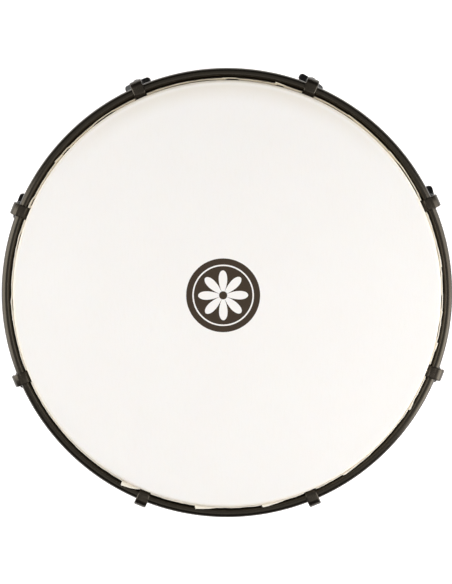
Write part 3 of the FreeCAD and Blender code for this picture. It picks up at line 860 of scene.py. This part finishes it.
def add_fasteners():
    """Finishes of the fasteners and of the wooden parts, whose CAD shape is right."""
    zinc = plated_material("zinc_plate", (0.56, 0.56, 0.55), 0.38)
    brass = plated_material("brass", (0.66, 0.47, 0.20), 0.32)
    drawn_steel = plated_material("drawn_steel", (0.42, 0.41, 0.40), 0.42)
    dress("stud_washers", zinc)
    dress("lug_screw_washers", zinc)
    dress("lug_screw_nuts", zinc)
    dress("cross_bar_screws", brass)
    dress("flesh_hoop", drawn_steel)
    dress("lug_screws", coat_material("screw_black", (0.016, 0.016, 0.016), 0.34, 0.4 * MM))
    dress("frame_shell", shell_material())
    dress("cross_bar", bar_material())


# ---------------------------------------------------------------- stage, light and camera

def add_floor():
    """A plain white table, faintly lit from inside so that the drum casts almost no shadow."""
    mesh = bpy.data.meshes.new("floor")
    half = 6.0
    corners = [(-half, -half, 0), (half, -half, 0), (half, half, 0), (-half, half, 0)]
    mesh.from_pydata(corners, [], [(0, 1, 2, 3)])
    floor = bpy.data.objects.new("floor", mesh)
    bpy.context.scene.collection.objects.link(floor)
    material, tree, shader = start_material("floor")
    shader.inputs["Base Color"].default_value = (0.9, 0.9, 0.9, 1)
    shader.inputs["Roughness"].default_value = 0.9
    shader.inputs["Specular IOR Level"].default_value = 0.0
    shader.inputs["Emission Color"].default_value = (1, 1, 1, 1)
    shader.inputs["Emission Strength"].default_value = 0.6
    mesh.materials.append(material)


def add_lamp(name, place_at, facing, size, radiance):
    """A soft rectangular lamp that faces one way and is equally bright all over."""
    data = bpy.data.lights.new(name, "AREA")
    data.shape = "RECTANGLE"
    data.size, data.size_y = size
    data.energy = radiance * math.pi * size[0] * size[1]
    lamp = bpy.data.objects.new(name, data)
    lamp.location = place_at
    lamp.rotation_euler = Vector(facing).to_track_quat("-Z", "Y").to_euler()
    lamp.visible_camera = False
    bpy.context.scene.collection.objects.link(lamp)


def add_light():
    """Bright walls beside the drum, the right one brighter low down, and two weaker ceilings."""
    add_lamp("right_wall", (0.9, -0.20, 0.85), (-1, 0, 0), (1.15, 1.5), 3.22)
    add_lamp("right_low", (0.89, -0.38, 0.42), (-1, 0, 0), (0.6, 0.62), 2.4)
    add_lamp("left_wall", (-0.9, 0.02, 0.85), (1, 0, 0), (0.8, 1.5), 3.82)
    add_lamp("ceiling", (0.0, 0.78, 1.95), (0, 0, -1), (2.7, 2.0), 0.45)
    add_lamp("near_ceiling", (0.3, -0.68, 1.95), (0, 0, -1), (1.8, 0.8), 0.95)
    bpy.context.scene.view_settings.view_transform = "Standard"


def add_room():
    """A dim room round the drum, which the camera sees as a white backdrop."""
    world = bpy.data.worlds.new("room")
    bpy.context.scene.world = world
    world.use_nodes = True
    tree = world.node_tree
    tree.nodes.clear()
    output = tree.nodes.new("ShaderNodeOutputWorld")
    room = tree.nodes.new("ShaderNodeBackground")
    room.inputs["Color"].default_value = (0.05, 0.05, 0.05, 1)
    backdrop = tree.nodes.new("ShaderNodeBackground")
    backdrop.inputs["Color"].default_value = (0.95, 0.95, 0.95, 1)
    seen = tree.nodes.new("ShaderNodeLightPath").outputs["Is Camera Ray"]
    mix = tree.nodes.new("ShaderNodeMixShader")
    tree.links.new(seen, mix.inputs[0])
    tree.links.new(room.outputs[0], mix.inputs[1])
    tree.links.new(backdrop.outputs[0], mix.inputs[2])
    tree.links.new(mix.outputs[0], output.inputs["Surface"])


def add_camera():
    """A long lens almost straight above the head, standing a little towards the drum's top."""
    data = bpy.data.cameras.new("camera")
    data.lens = LENS
    data.clip_end = 50.0
    camera = bpy.data.objects.new("camera", data)
    camera.location = CAMERA_PLACE
    back = (camera.location - Vector(CAMERA_AIM)).normalized()
    right = Vector((0, 1, 0)).cross(back).normalized()
    upright = Matrix((right, back.cross(right), back)).transposed()
    roll = Matrix.Rotation(math.radians(CAMERA_ROLL), 3, "Z")
    camera.rotation_euler = (upright @ roll).to_euler()
    bpy.context.scene.collection.objects.link(camera)
    bpy.context.scene.camera = camera


def main():
    add_camera()
    add_light()
    add_room()
    add_floor()
    add_drum_skin(skin_material())
    add_skin_end(skin_end_material())
    add_hoop(coat_material("hoop_black", (0.0034, 0.0027, 0.0018), 0.22, 0.5 * MM, 0.64, WARM))
    add_claws(coat_material("claw_black", (0.0045, 0.0034, 0.0026), 0.26, 0.45 * MM, 0.6, WARM))
    add_tuning_gear(
        coat_material("wing_nut_black", (0.005, 0.005, 0.005), 0.38, 0.7 * MM, 0.34),
        coat_material("bracket_black", (0.012, 0.011, 0.010), 0.40, 0.45 * MM))
    add_fasteners()


main()
